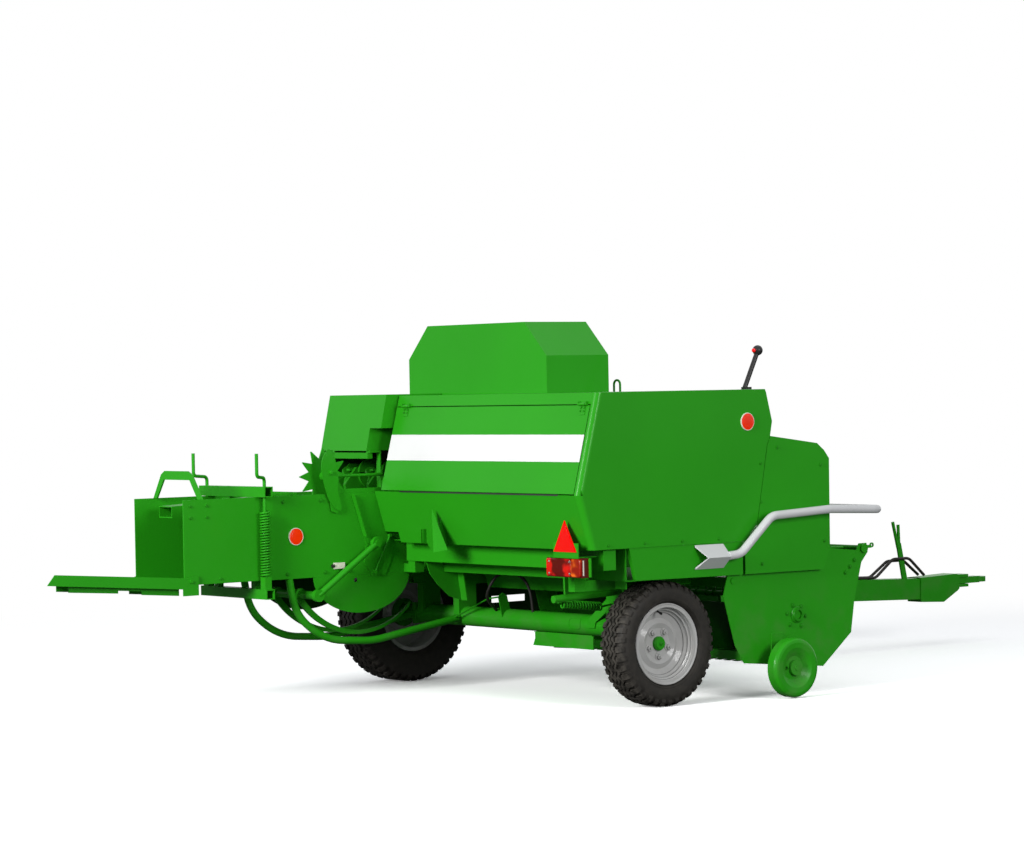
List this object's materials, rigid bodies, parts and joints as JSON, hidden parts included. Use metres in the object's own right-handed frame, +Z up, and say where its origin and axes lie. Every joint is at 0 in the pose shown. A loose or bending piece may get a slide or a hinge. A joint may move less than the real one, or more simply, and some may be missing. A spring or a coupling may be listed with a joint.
{
  "type": "square baler",
  "caption": "Towed square baler with an offset bale chamber, hinged chute, box body with twine lid, tined pickup, two wheels and a drawbar on a jack.",
  "frame": {"origin": "middle of the bounding box, at ground height", "axes": "+X forward to the tractor, +Y to the left, +Z up"},
  "size_m": [6.704, 2.64, 1.98],
  "materials": {
    "green_paint": "gloss",
    "rubber": "matt",
    "silver_paint": "satin",
    "steel": "satin",
    "lamp_plastic": "gloss",
    "rail_paint": "satin"
  },
  "bodies": {
    "chassis": {"axle_beam": "green_paint", "chain_case": "green_paint", "chamber_plates": "green_paint", "chamber_wall_left": "green_paint", "chamber_wall_right": "green_paint", "coil_springs": "green_paint", "control_lever": "green_paint", "deck": "green_paint", "density_rail": "green_paint", "drive_cover": "green_paint", "feeder_hood": "green_paint", "feeder_plates": "green_paint", "front_frame": "green_paint", "front_panel": "green_paint", "gearbox": "green_paint", "guard_rail": "rail_paint", "hinge_pins": "green_paint", "knotter_hood": "green_paint", "knotters": "green_paint", "metering_arm": "green_paint", "needle_guard": "green_paint", "rear_lamps": "lamp_plastic", "rear_panel": "green_paint", "reflectors": "lamp_plastic", "side_panel_left": "green_paint", "side_panel_right": "green_paint", "tension_gear": "green_paint", "twine_box": "green_paint", "under_frame": "green_paint"},
    "chute": {"bale_chute": "green_paint"},
    "drawbar": {"drawbar": "green_paint", "hitch_eye": "green_paint", "hoses": "rubber", "jack_sleeve": "green_paint"},
    "flywheel": {"flywheel": "green_paint"},
    "gauge_wheel": {"gauge_wheel": "green_paint"},
    "jack": {"jack_leg": "steel"},
    "lid": {"rear_lid": "green_paint"},
    "needle_yoke": {"needle_yoke_frame": "green_paint", "needles": "green_paint"},
    "pickup": {"pickup_frame": "green_paint", "pickup_plate_left": "green_paint", "pickup_plate_right": "green_paint", "stripper_bands": "green_paint"},
    "reel": {"reel_frame": "green_paint", "reel_tines": "steel"},
    "star_wheel": {"star_wheel": "green_paint"},
    "wheel_left": {"hub_left": "green_paint", "rim_left": "silver_paint", "tyre_left": "rubber"},
    "wheel_right": {"hub_right": "green_paint", "rim_right": "silver_paint", "tyre_right": "rubber"},
    "wind_guard": {"wind_guard": "silver_paint"}
  },
  "joints": [
    {"name": "wheel_right_spin", "type": "hinge", "parent": "chassis", "child": "wheel_right", "pos_m": [-0.704, -1.045, 0.32], "axis": [0, 1, 0], "continuous": true},
    {"name": "wheel_left_spin", "type": "hinge", "parent": "chassis", "child": "wheel_left", "pos_m": [-0.704, 1.125, 0.385], "axis": [0, 1, 0], "continuous": true},
    {"name": "chute_fold", "type": "hinge", "parent": "chassis", "child": "chute", "pos_m": [-2.51, 0.7455, 0.675], "axis": [0, 1, 0], "range_deg": [0, 75]},
    {"name": "needle_yoke_swing", "type": "hinge", "parent": "chassis", "child": "needle_yoke", "pos_m": [-1.35, 0.7455, 0.821], "axis": [0, -1, 0], "range_deg": [0, 80]},
    {"name": "star_wheel_spin", "type": "hinge", "parent": "chassis", "child": "star_wheel", "pos_m": [-1.609, 0.592, 1.185], "axis": [0, 1, 0], "continuous": true},
    {"name": "lid_open", "type": "hinge", "parent": "chassis", "child": "lid", "pos_m": [-1.22226, -0.368, 1.547], "axis": [0, 1, 0], "range_deg": [0, 95]},
    {"name": "flywheel_spin", "type": "hinge", "parent": "chassis", "child": "flywheel", "pos_m": [0.696, 0.747, 0.95], "axis": [1, 0, 0], "continuous": true},
    {"name": "pickup_lift", "type": "hinge", "parent": "chassis", "child": "pickup", "pos_m": [-0.284, -0.388, 0.62], "axis": [0, -1, 0], "range_deg": [0, 8]},
    {"name": "reel_spin", "type": "hinge", "parent": "pickup", "child": "reel", "pos_m": [0.166, -0.388, 0.42], "axis": [0, 1, 0], "continuous": true},
    {"name": "wind_guard_lift", "type": "hinge", "parent": "pickup", "child": "wind_guard", "pos_m": [0.661, -0.388, 0.745], "axis": [0, 1, 0], "range_deg": [0, 20]},
    {"name": "gauge_wheel_spin", "type": "hinge", "parent": "pickup", "child": "gauge_wheel", "pos_m": [0.016, -1.288, 0.16], "axis": [0, 1, 0], "continuous": true},
    {"name": "drawbar_swing", "type": "hinge", "parent": "chassis", "child": "drawbar", "pos_m": [0.496, 0.482, 0.43], "axis": [0, 0, 1], "range_deg": [0, 22]},
    {"name": "jack_slide", "type": "slide", "parent": "drawbar", "child": "jack", "axis": [0, 0, 1], "range_m": [0, 0.3]}
  ]
}
